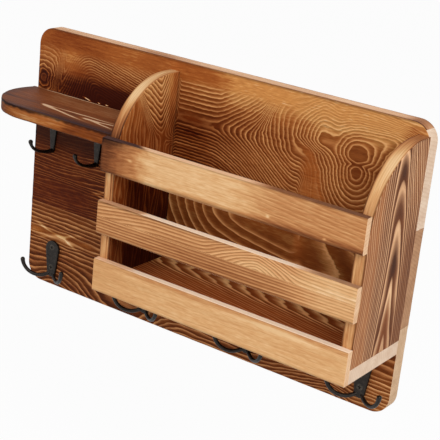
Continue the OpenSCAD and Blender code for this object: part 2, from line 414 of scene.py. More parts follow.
def noise(q, sa, sb, seed=0, detail=0.0, rough=0.5):
    """Smooth noise from about -1 to 1, with features of the given sizes."""
    node = add_node("TexNoise", noise_dimensions="2D")
    plug(moved(q, -531.7 * seed - 1000.0, 293.1 * seed - 1700.0, sa, sb), node.inputs["Vector"])
    node.inputs["Scale"].default_value = 1.0
    node.inputs["Detail"].default_value = detail
    node.inputs["Roughness"].default_value = rough
    return (Term(node.outputs["Fac"]) - 0.5) * 2.0


def wavering(a, b, along, up):
    """A place that noise moves: along and up are (distance, noise's sizes, seed, detail)."""
    where = Spot(a, b)
    return Spot(a + along[0] * noise(where, *along[1:]), b + up[0] * noise(where, *up[1:]))


def linear(code):
    """A colour written as in a paint program, as Blender's linear numbers."""
    parts = [int(code[i:i + 2], 16) / 255 for i in (1, 3, 5)]
    return tuple(c / 12.92 if c <= 0.04045 else ((c + 0.055) / 1.055) ** 2.4 for c in parts) + (1.0,)


def ramp(value, stops):
    """A colour ramp through stops of a place and a colour or a grey."""
    node = add_node("ValToRGB")
    points = node.color_ramp.elements
    while len(points) < len(stops):
        points.new(0.5)
    for point, (place, colour) in zip(points, stops):
        point.position = place
        point.color = linear(colour) if isinstance(colour, str) else (colour,) * 3 + (1.0,)
    plug(value, node.inputs[0])
    return node.outputs[0]


def blend(amount, one, two):
    """One colour where the amount is 0, and the other where it is 1."""
    node = add_node("Mix", data_type="RGBA")
    plug(amount, node.inputs["Factor"])
    plug(one, node.inputs[6])
    plug(two, node.inputs[7])
    return node.outputs[2]


def scaled(colour, amount):
    """A colour made lighter or darker by a factor."""
    node = add_node("VectorMath", operation="SCALE")
    plug(colour, node.inputs[0])
    plug(amount, node.inputs["Scale"])
    return node.outputs[0]


def empty_tree(owner):
    """Clears the nodes of a material or a world, for those that follow."""
    owner.use_nodes = True
    Term.tree = owner.node_tree
    Term.tree.nodes.clear()


def new_material(name):
    material = bpy.data.materials.new(name)
    empty_tree(material)
    out = add_node("OutputMaterial")
    shader = add_node("BsdfPrincipled")
    plug(shader.outputs[0], out.inputs["Surface"])
    return material, shader


def place_terms():
    """x, y and z over the panel's lower left front corner, in millimetres."""
    where = add_node("TexCoord")
    scale = add_node("VectorMath", operation="MULTIPLY_ADD")
    plug(where.outputs["Object"], scale.inputs[0])
    scale.inputs[1].default_value = (1 / MM,) * 3
    scale.inputs[2].default_value = -PANEL_LO
    parts = add_node("SeparateXYZ")
    plug(scale.outputs[0], parts.inputs[0])
    return [Term(parts.outputs[k]) for k in range(3)]


def relief(shader, height, depth):
    """Fine relief, with 0.6 mm for a height of 1."""
    node = add_node("Bump")
    node.inputs["Strength"].default_value = depth
    node.inputs["Distance"].default_value = 0.6 * MM
    plug(height, node.inputs["Height"])
    plug(node.outputs[0], shader.inputs["Normal"])


# ---------------------------------------------------------------- wood

# Soft wood between the year rings and the hard pale lines, from burnt to golden
TORCHED_SOFT = [(0.0, "#380f05"), (0.2, "#521d08"), (0.45, "#803a13"), (0.7, "#aa5e29"), (0.92, "#dc9a55"),
                (1.0, "#f4d8ac")]
TORCHED_HARD = [(0.0, "#7b3312"), (0.2, "#bb6a30"), (0.45, "#dc985a"), (0.7, "#ecb070"), (1.0, "#f6c688")]
SIDE_SOFT = [(0.0, "#3a190f"), (0.3, "#5e311c"), (0.6, "#8c4f2c"), (1.0, "#b97444")]
SIDE_HARD = [(0.0, "#a86c44"), (0.3, "#ebb283"), (0.6, "#fac898"), (1.0, "#ffdcae")]
SANDED_SOFT = [(0.0, "#5a2e18"), (0.3, "#935630"), (0.6, "#bb7c4a"), (0.85, "#d8a46e"), (1.0, "#e8be8c")]
SANDED_HARD = [(0.0, "#935834"), (0.3, "#c68a56"), (0.6, "#e8b27c"), (0.85, "#f0c490"), (1.0, "#fadab4")]
SHELF_SOFT = [(0.0, "#341a14"), (0.3, "#663b28"), (0.55, "#844826"), (0.8, "#ac7850"), (1.0, "#e2bc98")]
SHELF_HARD = [(0.0, "#5d3624"), (0.3, "#8f5c40"), (0.55, "#a86e46"), (1.0, "#f0d0b2")]
LOWER_SOFT = [(0.0, "#2a0f04"), (0.2, "#50200a"), (0.45, "#7c3c12"), (0.7, "#a86028"), (1.0, "#dfae72")]
LOWER_HARD = [(0.0, "#7a3a1a"), (0.2, "#ae6434"), (0.45, "#cf945e"), (0.7, "#e4b07a"), (1.0, "#f8dab0")]
FLOOR_SOFT = [(0.0, "#6a260c"), (0.3, "#8a3a14"), (0.6, "#b85c28"), (1.0, "#dc8444")]
FLOOR_HARD = [(0.0, "#dc9450"), (0.5, "#ffc07c"), (1.0, "#ffdc9c")]
EDGE_SOFT = [(0.0, "#6e3e24"), (0.35, "#b57c54"), (0.7, "#f0bf96"), (1.0, "#ffe4c8")]
EDGE_HARD = [(0.0, "#9a6848"), (0.35, "#cf9c78"), (0.7, "#f4cba6"), (1.0, "#ffeedc")]

# How pale a ring is across its width: slow rise to the hard line, then a quick fall
RING = [(0.0, 0.0), (0.30, 0.05), (0.58, 0.40), (0.76, 1.0), (0.90, 0.70), (1.0, 0.0)]
# How dark the soft wood is next to the hard line
SHADOW = [(0.0, 0.8), (0.10, 1.0), (0.32, 0.5), (0.60, 0.0), (0.88, 0.0), (1.0, 0.8)]
# Dark colour of charring, and of the painted shade that some figures mix in
CHAR_AND_SHADE = "#24120c"
SLATE = "#2e262c"


def wood(name, figure, soft, hard, upright=False, narrow=1.0, char_and_shade_colour=CHAR_AND_SHADE):
    """A wood material from one of the figures below, with its fibres level or upright.
    A higher narrow gives thinner lines."""
    material, shader = new_material(name)
    x, y, z = place_terms()
    q, rings, tone, strength, char_and_shade = figure(x, y, z)
    ring = step("POWER", fract(rings), narrow)
    line = Term(ramp(ring, RING))
    shadow = Term(ramp(ring, SHADOW))
    fibre_a, fibre_b = (0.45, 14.0) if upright else (14.0, 0.45)
    fibre = noise(q, fibre_a, fibre_b, 11, 2.0, 0.6)
    fleck = noise(q, fibre_a * 0.5, fibre_b * 2.6, 12, 1.0)
    # Every ring is a little paler or darker than the next one
    own = noise(Spot(step("FLOOR", rings) * 3.7, 0.0), 5, 5, 60)
    tone = clip(tone + fibre * 0.11 + fleck * 0.09 + own * clip(strength) * 0.09)
    amount = clip(line * strength * (1.0 + 0.5 * own))
    brown = scaled(ramp(tone, soft), 1.0 - 0.4 * shadow * clip(strength))
    colour = blend(amount, brown, ramp(tone, hard))
    # Charring from the figure mixes in the dark colour here; in some figures this is also painted shade
    colour = blend(clip(char_and_shade), colour, linear(char_and_shade_colour))
    plug(colour, shader.inputs["Base Color"])
    plug(0.56 + fibre * 0.07 - amount * 0.08, shader.inputs["Roughness"])
    shader.inputs["Specular IOR Level"].default_value = 0.05
    relief(shader, amount * 0.8 + fibre * 0.35, 0.3)
    return material


# ------------------------------------------------ figures of the wood
# Each figure gives five things: a spot, a count of year rings, how light the wood is from 0 to 1,
# how strong the pale lines are, and charring from 0, which in some figures also holds painted shade.

def cone(q, a0, b0, left, right, up, down, rings):
    """Evenly spaced rings round a point, with their spacing on its four sides."""
    across = slope(a0 - q.a, 1) / left + slope(q.a - a0, 1) / right
    upward = slope(q.b - b0, 1) / up + slope(b0 - q.b, 1) / down
    return rings - root(across * across + upward * upward)


def soft_most(a, b, width):
    """The greater of two numbers, with a rounded change from one to the other."""
    return b + slope(a - b, width)


def boxy(a, b):
    """The length of (a, b) as a squared-off arch has it."""
    return root(root(a * a * a * a + b * b * b * b))


def top_board_right(q):
    """A ridge that points left, an island of two rings, and a plain place between.
    Gives the rings and how plain the place is."""
    rise = (0.165 * slope(q.a - 206, 5) + 0.075 * slope(q.a - 236, 8) - 0.24 * slope(q.a - 282, 4))
    upright = fade(q.a - 0.45 * (q.b - 200), 236, 252)
    over = 0.27 * slope(q.b - 202, 4)
    bent = 0.20 * slope(q.b - 226, 6) - 0.03 * (q.b - 202) * fade(q.a, 285, 270)
    above = between(over, bent, upright * fade(q.b, 198, 206))
    dense = 0.37 - 0.05 * fade(q.a, 215, 275)
    below = dense * slope(197 - q.b, 4) * fade(q.a, 306, 288)
    small = cone(q, 341, 195, 3.0, 3.4, 2.8, 4.1, 12.1)
    large = cone(q, 340, 208.5, 3.5, 4.2, 3.5, 2.8, 12.7)
    island = soft_most(small, large, 0.3)
    island = island + 4.3 * fade(q.a, 324, 303) * fade(q.b, 199, 213) + 5.0 * bump(q, 380, 229, 26, 12, 8)
    island = slope(10.9 - slope(10.9 - island, 0.3), 0.8)
    plain = fade(q.a, 286, 298) * fade(q.b, 214, 200) * fade(island, 2.2, 0.6)
    return rise - above - below + island + 0.55, plain


def top_board_left(q):
    """Arches whose arms run right, and a small knot at the panel's end."""
    legs = 0.40 * slope(75 - q.a + 0.012 * (75 - q.a) * (q.b - 205), 5)
    arms = 0.45 * slope(q.b - 199 + 0.26 * slope(q.a - 62, 6), 4)
    east, north = (q.a - 7) / 3.3, (q.b - 200) / 4.2
    knot = 0.5 * boxy(east, north) + 0.5 * root(east * east + north * north) + 7.0
    arches = boxy(legs, arms)
    return between(arches, knot, fade(q.a - 0.3 * (q.b - 205), 34, 20))


def top_board(x, y, z):
    """Torched dark above the shelf, and golden along the top at the right."""
    ragged = 0.6 + 1.3 * fade(x, 36, 18)
    q = wavering(x, z, (ragged, 9, 6, 21, 1.0), (ragged * 0.75, 7, 4, 22, 1.0))
    left = top_board_left(q)
    right, plain = top_board_right(q)
    inside = fade(x, 148, 164)
    rings = between(left, right, inside) + 0.08 * noise(q, 5, 3, 1)
    patch = bump(q, 38, 223, 15, 12)
    knot = bump(q, 7, 200, 9, 9)
    blaze = bump(q, 180, 200, 20, 3.5)
    charred = bump(q, 82, 194, 54, 17)
    chips = (bump(q, 61, 190.9, 4.5, 0.65, -16) + bump(q, 75, 190.3, 1.8, 0.6, -12)
             + bump(q, 84, 190.2, 2.2, 0.5))
    streaks = noise(q, 60, 1.8, 6, 2.0)
    tone = (0.53 + 0.40 * fade(z, 205, 240) * fade(x, 190, 245) + 0.06 * fade(x, 285, 300)
            + 0.14 * fade(z, 216, 232) * fade(x, 56, 95) * fade(x, 250, 215) - 0.10 * bump(q, 28, 236, 16, 8)
            - 0.24 * fade(z, 214, 200) * fade(x, 12, 28) * (1.0 - inside)
            - 0.28 * fade(x, 250, 190) * fade(z, 210, 184) * inside
            - 0.60 * charred - 0.62 * knot + 0.55 * bump(q, 7, 200, 3.2, 3.2)
            + 0.24 * patch + 0.16 * bump(q, 12, 222, 16, 12) - 0.02 * blaze
            - 0.12 * bump(q, 205, 204, 40, 9) - 0.30 * bump(q, 178, 188.5, 17, 2.4)
            - 0.22 * bump(q, 388, 238, 12, 9) - 0.12 * bump(q, 341, 205, 9, 17) + 0.05 * plain
            + 0.09 * noise(q, 34, 14, 3, 2.0) + 0.12 * streaks)
    tone = least(tone, 0.87) + 1.7 * chips
    strength = (0.82 + 0.16 * noise(q, 22, 12, 2) - 0.65 * patch
                - 0.55 * fade(z, 226, 238) * fade(x, 300, 250) - 0.45 * fade(z, 226, 238) * inside
                - 0.55 * fade(z, 222, 234) * fade(x, 22, 45) * fade(x, 170, 140) - 0.70 * plain * inside
                - 0.85 * blaze - 0.45 * fade(z, 213, 226) * fade(x, 34, 20)
                - 0.40 * bump(q, 52, 214, 15, 8) - 0.80 * charred - 0.35 * bump(q, 275, 225, 14, 16))
    char_and_shade = 0.30 * fade(z, 165.5, 162.5) * inside + 0.45 * fade(z, 244.6, 246.6)
    return q, rings, tone, strength, char_and_shade


def middle_board_right(q):
    """Curves that start upright at the left and run out low to the right, round a tongue."""
    left = 0.053 * slope(241 - q.a, 5) + 0.055 * slope(207 - q.a, 6)
    low = slope(127 - q.b - 0.16 * slope(q.a - 232, 8), 1.5) / 8
    far = q.a + 0.85 * (q.b - 127) * fade(q.a, 298, 312)
    right = 0.09 * slope(far - 288, 3) - 0.055 * slope(far - 300, 3)
    return root(left * left + low * low + 0.5 * left * low + right * right) + 0.1


def middle_board(x, y, z):
    """Dark with level lines at the left, curves inside the letter box, and a painted shadow under the shelf.
    """
    ragged = 0.5 + 2.2 * fade(x, 300, 315)
    q = wavering(x, z, (ragged, 9, 3, 23, 1.0), (0.4, 12, 4, 24))
    left = 0.34 * q.b - 0.010 * slope(q.a - 40, 20) + 0.9 * noise(q, 60, 9, 6)
    rings = between(left, middle_board_right(q), fade(x, 105, 145))
    plain = bump(q, 40, 92, 60, 11)
    fork = bump(q, 86, 107.6, 12, 1.0, 18) + bump(q, 86, 102.6, 11, 1.0, -18)
    tone = (0.20 + 0.46 * fade(x, 100, 150) + 0.07 * fade(z, 100, 128) * fade(x, 100, 90)
            + 0.10 * noise(q, 40, 9, 7, 2.0) + 0.06 * noise(q, 8, 3, 8)
            + 0.12 * bump(q, 262, 124, 26, 4) + 0.22 * bump(q, 330, 112, 14, 6, -35) + 0.45 * fork
            + 0.22 * bump(q, 288, 122, 7, 4))
    # Painted shadow under the shelf: the charring colour and weaker lines there stand in for shade
    shelf_shadow = fade(z, 128, 148) * fade(x, 110, 90)
    strength = (0.98 - 0.45 * plain - 0.45 * fade(x, 95, 60) + 0.2 * noise(q, 30, 9, 54) - 0.35 * shelf_shadow
                - bump(q, 297, 119, 5, 12))
    char_and_shade = 0.70 * shelf_shadow + 0.6 * fade(x, 2.2, 0.6) * fade(z, 118, 135)
    return q, rings, least(tone, 0.80), strength, char_and_shade


def bottom_board_rings(q):
    """Level lines with a crossing at the left, and long slanting arches below."""
    crest = (26 * fade(q.a, 30, 108) * fade(q.a, 190, 130) + 10 * fade(q.a, 32, 4)
             - 34 * fade(q.a, 255, 380))
    level = q.b - 0.9 * (q.b - 50) * bump(q, 38, 50, 75, 5.5) + 0.02 * slope(q.a - 50, 10)
    lenses = 0.42 * bump(q, -2, 49.5, 22, 3.8) + 0.45 * bump(q, 84, 52.5, 28, 3.4)
    height = level + crest * fade(q.b, 38, -6)
    return 0.245 * height - 0.10 * (height - 20) * fade(q.a, 340, 368) + 0.63 + lenses


def bottom_board(x, y, z):
    """Brown, with two pale lines that cross at the left."""
    q = wavering(x, z, (1.3, 8, 4, 25), (0.9, 16, 5, 26))
    bow = bump(q, 36, 50, 44, 5.5)
    pale = (0.9 * bump(q, 40, 51.0, 6, 1.6) + 0.6 * bump(q, 25, 53.4, 14, 1.2, -10)
            + 0.8 * bump(q, 51, 47.0, 10, 1.2, -25) + 0.5 * bump(q, 22, 46.8, 17, 1.2, 15)
            + 0.7 * bump(q, 12, 57.5, 10, 1.3, -16) + 0.6 * bump(q, 51, 54.6, 11, 1.2, 20))
    corner = fade(x, 345, 372) * fade(z, 28, 42)
    tone = (0.31 + 0.22 * fade(x, 350, 392) + 0.10 * fade(z, 30, 5) * fade(x, 110, 160)
            + 0.12 * bow + 0.62 * pale + 0.30 * bump(q, 6, 50, 13, 4) + 0.16 * bump(q, 38, 44.5, 14, 4)
            + 0.12 * bump(q, 70, 50.5, 13, 3) + 0.05 * fade(z, 56, 64)
            + 0.12 * noise(q, 40, 8, 9, 2.0) + 0.06 * noise(q, 8, 3, 10) - 0.16 * corner)
    strength = (0.90 - 0.25 * fade(z, 60, 76) * fade(x, 110, 90) + 0.2 * noise(q, 30, 7, 53)
                - 0.25 * corner - 0.6 * bump(q, 13, 50, 15, 3.6) - 0.6 * bump(q, 66, 51, 17, 3.8)
                - 0.5 * bump(q, 40, 50.5, 12, 3))
    char_and_shade = 0.35 * fade(z, 50, 58) * fade(x, 94, 102)
    return q, bottom_board_rings(q), tone, strength, char_and_shade


def with_plain_rear(front, middle, lean, seed):
    """The front's figure, and on the rear of the same board plain long arches."""
    def figure(x, y, z):
        q, rings, tone, strength, char_and_shade = front(x, y, z)
        rear = fade(y, 9, 12)
        wave = noise(Spot(x, z), 70, 14, seed)
        high = (z - middle) / 15.0 + 0.5 * wave
        arches = x / lean + high * high
        tone = between(tone, 0.52 + 0.10 * wave, rear)
        return q, between(rings, arches, rear), tone, between(strength, 0.60, rear), char_and_shade * (1.0 - rear)
    return figure


def floor_top(x, y, z):
    """A row of flames along the rear whose tails run level to the right."""
    q = wavering(x, y, (1.0, 12, 5, 39), (0.4, 16, 4, 40))
    rings = (q.a / 19.0 + 0.045 * slope(q.b + 15, 3) - 0.30 * slope(-16 - q.b, 4) + 0.15
             + 0.3 * noise(q, 50, 6, 55))
    tone = (0.54 + 0.06 * fade(y, -20, -8) + 0.14 * noise(q, 30, 8, 41, 2.0)
            - 0.18 * fade(x, 190, 160) + 0.12 * bump(q, 228, -10, 28, 7))
    strength = 1.10 - 0.70 * fade(y, -17, -26)
    return q, rings, tone, strength, 0.4 * fade(y, -2.5, -0.5)


def side_outer(x, y, z):
    """Nested pointed arches, with near-straight lines on both sides of them."""
    q = wavering(y, z, (0.35, 5, 11, 27, 1.0), (1.2, 9, 14, 28))
    away = q.a + 30 + 0.078 * slope(q.b - 135, 12)
    away = root(away * away + 1.5)
    near = least(away, 14)
    steep = 0.9 + 1.4 * fade(q.b, 190, 150) + 2.4 * fade(q.b, 142, 112) * fade(away, 14, 7)
    spread = steep * away + 0.015 * near * near * near + 8.8 * (away - near)
    lean = 1.5 * slope(q.b - 185, 8) * fade(q.a, -31, -20)
    tip = q.b + spread + lean
    inner = fade(tip, 140, 125)
    tone = (0.47 + 0.33 * fade(y, -54, -64) - 0.28 * bump(q, -36, 221, 6, 9)
            - 0.32 * bump(q, -30, 146, 5, 12) + 0.24 * bump(q, -11, 215, 12, 24)
            + 0.26 * noise(q, 1.3, 60, 52, 2.0) * fade(y, -46, -58)
            + 0.20 * bump(q, -32, 174, 6, 8) + 0.20 * bump(q, -28, 116, 5, 16) + 0.12 * inner
            + 0.10 * noise(q, 5, 30, 11, 2.0) - 0.10 * fade(y, -18, -6) * fade(z, 180, 150))
    strength = (1.0 - 0.30 * fade(y, -58, -64) - 0.30 * fade(y, -46, -53) - 0.30 * fade(y, -20, -14)
                - 0.35 * fade(y, -17, -11) * fade(z, 180, 150) - 0.4 * inner * fade(z, 112, 95))
    rings = (tip - 183) / 46 + 0.0116 * slope(tip - 183, 5)
    return q, rings, tone, strength, 0.35 * fade(z, 236, 238.5)


def divider_inner(x, y, z):
    """Nested V shapes at the top, upright streaks below and in front, and painted shade low inside the letter
    box.
    """
    q = wavering(y, z, (0.5, 6, 6, 29, 1.0), (0.7, 5, 7, 30, 1.0))
    off = q.a + 21 + 0.12 * (q.b - 205)
    vees = (q.b - 200 - 1.75 * slope(off, 2.0) - 1.12 * slope(-off, 2.6) + 0.45 * slope(-off - 14, 4)) / 5.4
    upright = 0.22 * q.a + 0.8 * noise(q, 7, 26, 12)
    nested = fade(z + 0.3 * (y + 40), 182, 199) * fade(y + 0.6 * (z - 215), -54, -40)
    rings = between(upright, vees, nested)
    streaks = noise(q, 1.6, 16, 15, 1.0)
    # The last tone term, darker low down towards the rear, is painted shade inside the letter box
    tone = (0.43 + 0.16 * noise(q, 7, 22, 13, 2.0) + 0.34 * fade(z, 190, 228)
            + 0.20 * bump(q, -69, 190, 5, 40) + 0.16 * bump(q, -54, 196, 4, 12)
            + 0.14 * streaks * fade(z, 205, 192)
            - 0.34 * fade(z, 166, 146) * fade(y, -66, -52) - 0.08 * fade(y, -12, -3))
    strength = 0.32 + 0.90 * nested * fade(z, 186, 204) * fade(off, 13, 7)
    # The first term is painted shade low inside the letter box, in the charring colour; the second darkens
    # the rear seam
    char_and_shade = 0.35 * fade(z, 150, 95) + 0.45 * fade(y, -3.2, -0.8)
    return q, rings, tone, strength, char_and_shade


def top_slat(x, y, z):
    """Brown at the left, pale in the middle, orange with long fine lines at the right."""
    q = wavering(x, z, (2.0, 20, 5, 31), (0.4, 25, 6, 32))
    rings = (0.30 * (q.b + 0.12 * slope(q.a - 285, 20) + 0.20 * slope(190 - q.a, 6))
             + 0.3 * noise(q, 60, 4, 14))
    edge = x + 8 * noise(Spot(x, z), 9, 7, 42, 2.0)
    left = fade(edge, 202, 178)
    right = fade(edge, 272, 335)
    flecks = bump(q, 316, 170, 1.6, 1.2) + bump(q, 366, 166.5, 1.6, 1.0) + bump(q, 180, 179, 2.4, 1.2)
    tone = (0.92 - 0.45 * left - 0.38 * fade(edge, 180, 156) - 0.29 * right + 0.08 * noise(q, 34, 7, 15, 2.0)
            + 0.15 * noise(q, 30, 1.3, 16, 2.0) - 0.20 * fade(z, 171, 166) * fade(x, 285, 320)
            - 0.16 * fade(z, 168.5, 166) * fade(x, 210, 235) + 0.4 * flecks)
    strength = 0.08 + 0.20 * right + 0.06 * left
    char_and_shade = (0.75 * fade(z, 183, 191) * fade(edge, 186, 160) + 0.40 * fade(z, 166.2, 164.6)
            + 0.35 * fade(x, 154, 151) + 0.35 * fade(z, 190.4, 191.4))
    return q, rings, tone, strength, char_and_shade


def middle_slat(x, y, z):
    """A half eye over a straight line, and fine straight lines under it."""
    q = wavering(x, z, (1.2, 20, 5, 33), (0.25, 25, 5, 34))
    across = (slope(312 - q.a, 2) / 6.0 - slope(262 - q.a, 6) / 6.0 + slope(q.a - 312, 2) / 5.6
              - slope(q.a - 346, 6) / 5.6)
    over = slope(q.b - 123.5, 1) / 2.2
    upper = -root(across * across + over * over + 1.1 * across * over) - 0.05 * slope(205 - q.a, 12)
    lower = 0.40 * (124 - q.b) + 0.006 * q.a
    above = fade(q.b, 123.4, 124.6)
    eye = bump(q, 312, 124, 26, 9) * above
    tone = (0.46 + 0.32 * fade(x, 330, 375) + 0.26 * eye + 0.10 * above
            - 0.16 * bump(q, 270, 114, 70, 7) + 0.12 * bump(q, 196, 124, 12, 3)
            + 0.07 * noise(q, 50, 4, 17, 2.0) + 0.08 * noise(q, 26, 1.3, 18, 2.0))
    strength = 0.72 + 0.10 * eye - 0.22 * fade(x, 340, 380)
    char_and_shade = 0.50 * fade(z, 135.4, 136.8) * fade(x, 330, 230) + 0.30 * fade(z, 111.5, 109.8)
    return q, between(lower, upper, above), tone, strength, char_and_shade


def bottom_slat(x, y, z):
    """Plain and pale, with a light lens in a redder band along the top."""
    q = wavering(x, z, (2.0, 20, 5, 35), (0.4, 25, 5, 36))
    lens = bump(q, 338, 81.8, 30, 1.8)
    band = fade(z, 80.5, 83.5) * fade(x, 160, 215)
    rings = 0.16 * q.b + 0.5 * noise(q, 70, 5, 18)
    tone = (0.86 - 0.16 * band + 0.34 * lens - 0.06 * fade(x, 230, 160)
            + 0.07 * noise(q, 40, 6, 19, 2.0) + 0.10 * noise(q, 30, 1.3, 20, 2.0))
    char_and_shade = 0.45 * fade(z, 84.6, 86.0) + 0.25 * fade(z, 59.5, 57.8)
    return q, rings, tone, 0.10, char_and_shade


def slat_edge(pale_from, left, right, brown_from=500.0, charred=0.0):
    """The top of a slat: pale between two places along it, and browner arrises."""
    def figure(x, y, z):
        q = Spot(x, y + z)
        rings = 0.3 * q.b + 0.4 * noise(q, 70, 4, 20)
        pale = fade(x + 6 * noise(q, 10, 4, 43), pale_from - 8, pale_from + 8)
        brown = fade(x, brown_from, brown_from + 30)
        tone = (between(left, right, pale) + 0.10 * noise(q, 40, 2, 21, 2.0)
                - 0.40 * fade(y, -83.7, -84.5) - 0.6 * brown)
        char_and_shade = 0.20 * fade(y, -84.0, -84.7) + charred * (1.0 - pale) + 0.35 * fade(x, 330, 385) * brown
        return q, rings, tone, 0.12, char_and_shade
    return figure


def curved_edge(low, high, brown_top, brown_foot):
    """The sawn edge of a side panel between x = low and high: cream, with brown arrises."""
    def figure(x, y, z):
        q = Spot(z - 0.6 * y, x)
        rings = 0.42 * x + 0.5 * noise(q, 40, 4, 44)
        arris = fade(x, low + 2.0, low + 0.3) + fade(x, high - 2.2, high - 0.3)
        tone = (0.90 + 0.22 * noise(q, 24, 4, 45, 2.0) + 0.12 * noise(q, 12, 0.9, 46, 1.0)
                - brown_top * fade(y, -46, -12) - brown_foot * fade(z, 228, 190) * fade(z, 160, 172)
                - brown_foot * bump(Spot(x, z), high - 3.2, 140, 0.7, 45) - 0.18 * fade(z, 215, 175)
                + 0.12 * bump(Spot(y, z), -50, 225, 14, 10) - 0.35 * arris)
        return q, rings, tone, 0.20, 0.65 * arris * fade(z, 236, 196)
    return figure


def panel_top(x, y, z):
    """The long edge of the panel, with a browner arris at the front and the rear."""
    q = Spot(x, y)
    rings = 0.3 * y + 0.6 * noise(q, 90, 4, 47)
    tone = (0.65 + 0.14 * noise(q, 60, 4, 48, 2.0) + 0.12 * noise(q, 30, 0.9, 49, 2.0)
            - 0.45 * fade(y, 2.8, 0.8) - 0.30 * fade(y, 11.6, 13.2) - 0.30 * bump(q, 136, 4, 26, 9)
            - 0.40 * bump(q, 387, 4, 9, 12))
    return q, rings, tone, 0.12, 0.45 * fade(y, 1.2, 0.2)


def shelf_top(x, y, z):
    """Plain brown with two pale wedges that open to the right."""
    q = wavering(x, y, (1.5, 20, 6, 37), (0.5, 20, 6, 38))
    rings = 0.20 * q.b + 0.35 * noise(q, 60, 7, 22)
    wedge = (1.1 * bump(q, 54, -43.6, 10, 2.0, -12) + 0.75 * bump(q, 92, -40.2, 44, 1.1, 1)
             + 0.85 * bump(q, 76, -48.6, 26, 1.4, -11) + 1.1 * bump(q, 106, -47.2, 9, 1.7, -4)
             + 0.8 * bump(q, 124, -44.4, 16, 1.1, 8) + 0.8 * bump(q, 122, -50.8, 16, 1.2, -13))
    tone = (0.45 + 0.16 * fade(y, -38, -22) * fade(x, 5, 40) + 0.90 * wedge * fade(x, 40, 48)
            - 0.26 * bump(q, 8, -43, 36, 2.8) - 0.20 * bump(q, 86, -45, 14, 2.2, -5)
            - 0.18 * fade(y, -53, -61) + 0.70 * bump(q, 42, -1.4, 44, 0.7)
            + 0.10 * noise(q, 45, 6, 23, 2.0) + 0.10 * noise(q, 22, 1.4, 50, 2.0))
    char_and_shade = (0.65 * fade(y, -61, -65) + 0.45 * fade(x, 10, -5) + 0.15 * fade(y, -1.6, -0.4)
            + 0.45 * bump(q, 112, -60, 40, 5))
    return q, rings, tone, 0.12 + 0.2 * wedge, char_and_shade


def shelf_front(x, y, z):
    """Golden brown, burnt along both arrises, darker towards the right end, and with painted shade towards
    the left end.
    """
    q = Spot(x - y * 0.7, z)
    rings = 0.30 * q.b + 0.5 * noise(q, 60, 5, 24)
    # The first fade by x darkens towards the left end as painted shade
    tone = (0.68 - 0.25 * fade(x, 45, -5) - 0.24 * fade(x, 82, 102) + 0.20 * noise(q, 40, 4, 25, 2.0)
            + 0.12 * noise(q, 24, 1.2, 51, 2.0))
    worn = z + 1.3 * noise(q, 7, 30, 56)
    # The two fades by x are painted shade towards the left end, in the charring colour
    char_and_shade = (0.85 * fade(worn, 185.8, 188.2) + 0.25 * fade(x, 70, 10) + 0.35 * fade(x, 20, -6)
            + 0.50 * fade(z, 180.4, 177.8))
    return q, rings, tone, 0.14, char_and_shade


# ------------------------------------------------ end of the figures

def end_grain(name, light, dark):
    """Bare end grain at a board's left or right end: pale, with faint arcs and fine pores."""
    material, shader = new_material(name)
    x, y, z = place_terms()
    q = Spot(y, z)
    bend = root((y + 40) * (y + 40) + (z - 60) * (z - 60)) / 3.0
    arcs = Term(ramp(fract(bend + 0.3 * noise(q, 12, 12, 5)), RING))
    pores = noise(q, 0.5, 0.5, 7, 2.0, 0.7)
    patch = noise(q, 14, 9, 8, 2.0)
    tone = clip(0.62 + 0.30 * patch + 0.22 * pores - 0.18 * arcs)
    colour = ramp(tone, [(0.0, dark), (1.0, light)])
    plug(colour, shader.inputs["Base Color"])
    shader.inputs["Roughness"].default_value = 0.72
    shader.inputs["Specular IOR Level"].default_value = 0.25
    relief(shader, pores, 0.3)
    return material


# ---------------------------------------------------------------- metal

def iron():
    """Dark forged iron, a little cloudy and rough."""
    material, shader = new_material("forged_iron")
    x, y, z = place_terms()
    q = Spot(x + y * 0.7, z)
    cloud = noise(q, 4, 4, 1, 3.0, 0.6)
    speck = noise(q, 0.6, 0.6, 2, 2.0, 0.6)
    colour = ramp(clip(0.45 + 0.5 * cloud + 0.2 * speck),
                  [(0.0, "#191613"), (0.5, "#2a2521"), (1.0, "#453d36")])
    plug(colour, shader.inputs["Base Color"])
    shader.inputs["Metallic"].default_value = 0.75
    plug(0.42 + 0.1 * cloud + 0.06 * speck, shader.inputs["Roughness"])
    relief(shader, cloud * 0.6 + speck * 0.3, 0.25)
    return material


def steel(name, base, light, rough):
    material, shader = new_material(name)
    x, y, z = place_terms()
    q = Spot(x + y * 0.7, z)
    cloud = noise(q, 2.5, 2.5, 3, 3.0, 0.6)
    colour = ramp(clip(0.5 + 0.5 * cloud), [(0.0, base), (1.0, light)])
    plug(colour, shader.inputs["Base Color"])
    shader.inputs["Metallic"].default_value = 1.0
    plug(rough + 0.08 * cloud, shader.inputs["Roughness"])
    relief(shader, noise(q, 0.4, 0.4, 4, 1.0), 0.08)
    return material


# ---------------------------------------------------------------- boards

def stand_for(obj, node):
    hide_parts(node)
    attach(obj, "root")


def board(node, outline, place, low, high, ease, seed, faces, cutters=()):
    """Makes a board over its node and drills it. Its faces get their materials by the
    way they look: faces maps an axis letter to a material."""
    obj = slab(node + "_wood", outline, low, high, place, ease, ease, WANDER, seed)
    cut(obj, cutters)
    slots = obj.data.materials
    for axis in "xyz":
        if slots.find(faces[axis].name) < 0:
            slots.append(faces[axis])
    order = [slots.find(faces[axis].name) for axis in "xyz"]
    for face in obj.data.polygons:
        sizes = [abs(c) for c in face.normal]
        face.material_index = order[sizes.index(max(sizes))]
    smooth(obj)
    stand_for(obj, node)


